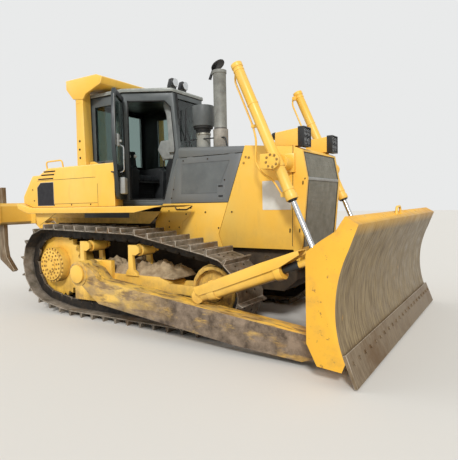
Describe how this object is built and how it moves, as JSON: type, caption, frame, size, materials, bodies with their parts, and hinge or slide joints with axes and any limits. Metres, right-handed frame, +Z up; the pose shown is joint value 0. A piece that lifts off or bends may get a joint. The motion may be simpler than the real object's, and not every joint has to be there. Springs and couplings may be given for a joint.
{
  "type": "bulldozer",
  "caption": "Crawler tractor with a straight blade on push arms, lift cylinders, a cab with a roll-over bar and a rear ripper.",
  "frame": {"origin": "on the floor, midway across the machine and midway between the blade's crest and the ripper's end plates", "axes": "+X forward, towards the blade; +Y to the machine's left; +Z up"},
  "size_m": [6.408, 3.72, 3.325],
  "materials": {
    "yellow": "satin, worn and dusty",
    "pale_grey": "satin",
    "mid_grey": "satin, dusty",
    "dark_grey": "matt",
    "black": "satin",
    "track_steel": "worn, muddy",
    "bright_steel": "polished",
    "worn_steel": "scoured",
    "glass": "tinted",
    "seat_cloth": "matt",
    "plastic": "matt",
    "iron": "rough"
  },
  "bodies": {
    "machine": {"cab_body": "dark_grey", "cab_floor": "dark_grey", "cab_glass": "glass", "cab_lamps": "black", "cab_roof": "pale_grey", "carrier_rollers": "yellow", "consoles": "plastic", "cowl": "yellow", "cross_members": "yellow", "engine_block": "iron", "exhaust_pipe": "iron", "fenders": "yellow", "final_drives": "yellow", "front_lamps": "yellow", "fuel_tank": "yellow", "grille": "black", "hood": "mid_grey", "idlers": "yellow", "main_frame": "yellow", "pre_cleaner": "dark_grey", "radiator_guard": "yellow", "rain_flap": "black", "ripper_bracket": "yellow", "rops_bar": "yellow", "seat": "seat_cloth", "side_tanks": "yellow", "sprockets": "yellow", "track_frames": "yellow", "track_left": "track_steel", "track_right": "track_steel", "track_rollers": "worn_steel", "trunnion_yokes": "yellow"},
    "blade": {"blade": "yellow", "cutting_edge": "worn_steel", "push_arms": "yellow", "tilt_cylinder": "yellow", "brace": "yellow"},
    "lift_barrel_right": {"lift_barrel_right": "yellow"},
    "lift_rod_right": {"lift_rod_right": "bright_steel"},
    "lift_barrel_left": {"lift_barrel_left": "yellow"},
    "lift_rod_left": {"lift_rod_left": "bright_steel"},
    "door_right": {"door_right": "dark_grey", "door_right_glass": "glass"},
    "door_left": {"door_left": "dark_grey", "door_left_glass": "glass"},
    "engine_door_right": {"engine_door_right": "mid_grey"},
    "engine_door_left": {"engine_door_left": "mid_grey"},
    "ripper_link": {"ripper_link": "yellow"},
    "ripper_upper_links": {"ripper_upper_links": "yellow"},
    "ripper_beam": {"ripper_beam": "yellow", "ripper_shanks": "worn_steel"},
    "ripper_barrels": {"ripper_barrels": "yellow"},
    "ripper_rods": {"ripper_rods": "bright_steel"}
  },
  "joints": [
    {"name": "blade_lift", "type": "hinge", "parent": "machine", "child": "blade", "pos_m": [-0.376, 0, 0.67], "axis": [0, -1, 0], "range_deg": [-8, 16]},
    {"name": "lift_swing_right", "type": "hinge", "parent": "machine", "child": "lift_barrel_right", "pos_m": [2.012, -0.845, 1.95], "axis": [0, -1, 0], "range_deg": [-9.77, 17.54]},
    {"name": "lift_slide_right", "type": "slide", "parent": "lift_barrel_right", "child": "lift_rod_right", "axis": [0.3998, 0, -0.9166], "range_m": [-0.772, 0.396]},
    {"name": "lift_swing_left", "type": "hinge", "parent": "machine", "child": "lift_barrel_left", "pos_m": [2.012, 0.845, 1.95], "axis": [0, -1, 0], "range_deg": [-9.77, 17.54]},
    {"name": "lift_slide_left", "type": "slide", "parent": "lift_barrel_left", "child": "lift_rod_left", "axis": [0.3998, 0, -0.9166], "range_m": [-0.772, 0.396]},
    {"name": "door_right_swing", "type": "hinge", "parent": "machine", "child": "door_right", "pos_m": [-0.38793, -0.72305, 1.7], "axis": [0, 0, 1], "range_deg": [0, 86.4]},
    {"name": "door_left_swing", "type": "hinge", "parent": "machine", "child": "door_left", "pos_m": [-0.38793, 0.72305, 1.7], "axis": [0, 0, 1], "range_deg": [0, 86.4]},
    {"name": "engine_door_right_lift", "type": "hinge", "parent": "machine", "child": "engine_door_right", "pos_m": [0.844, -0.543, 2.112], "axis": [-1, 0, 0], "range_deg": [0, 70]},
    {"name": "engine_door_left_lift", "type": "hinge", "parent": "machine", "child": "engine_door_left", "pos_m": [0.844, 0.543, 2.112], "axis": [1, 0, 0], "range_deg": [0, 70]},
    {"name": "ripper_lift", "type": "hinge", "parent": "machine", "child": "ripper_link", "pos_m": [-2.156, 0, 0.8], "axis": [0, -1, 0], "range_deg": [0, 50]},
    {"name": "ripper_upper", "type": "hinge", "parent": "machine", "child": "ripper_upper_links", "pos_m": [-2.156, 0, 1.2], "axis": [0, -1, 0], "range_deg": [-1, 51]},
    {"name": "ripper_beam_tilt", "type": "hinge", "parent": "ripper_link", "child": "ripper_beam", "pos_m": [-2.796, 0, 1.28], "axis": [0, -1, 0], "range_deg": [-51, 1]},
    {"name": "ripper_swing", "type": "hinge", "parent": "machine", "child": "ripper_barrels", "pos_m": [-2.056, 0, 1.235], "axis": [0, -1, 0], "range_deg": [-1, 36.1]},
    {"name": "ripper_slide", "type": "slide", "parent": "ripper_barrels", "child": "ripper_rods", "axis": [-0.9978, 0, -0.0661], "range_m": [-0.01, 0.337]}
  ],
  "couplings": [
    {"joint": "lift_swing_right", "follows": "blade_lift", "ratio": 0.971},
    {"joint": "lift_slide_right", "follows": "blade_lift", "m_per_rad": -2.692},
    {"joint": "lift_swing_left", "follows": "blade_lift", "ratio": 0.971},
    {"joint": "lift_slide_left", "follows": "blade_lift", "m_per_rad": -2.692},
    {"joint": "ripper_upper", "follows": "ripper_lift", "ratio": 1},
    {"joint": "ripper_beam_tilt", "follows": "ripper_lift", "ratio": -1},
    {"joint": "ripper_swing", "follows": "ripper_lift", "ratio": 0.702},
    {"joint": "ripper_slide", "follows": "ripper_lift", "m_per_rad": 0.375}
  ]
}
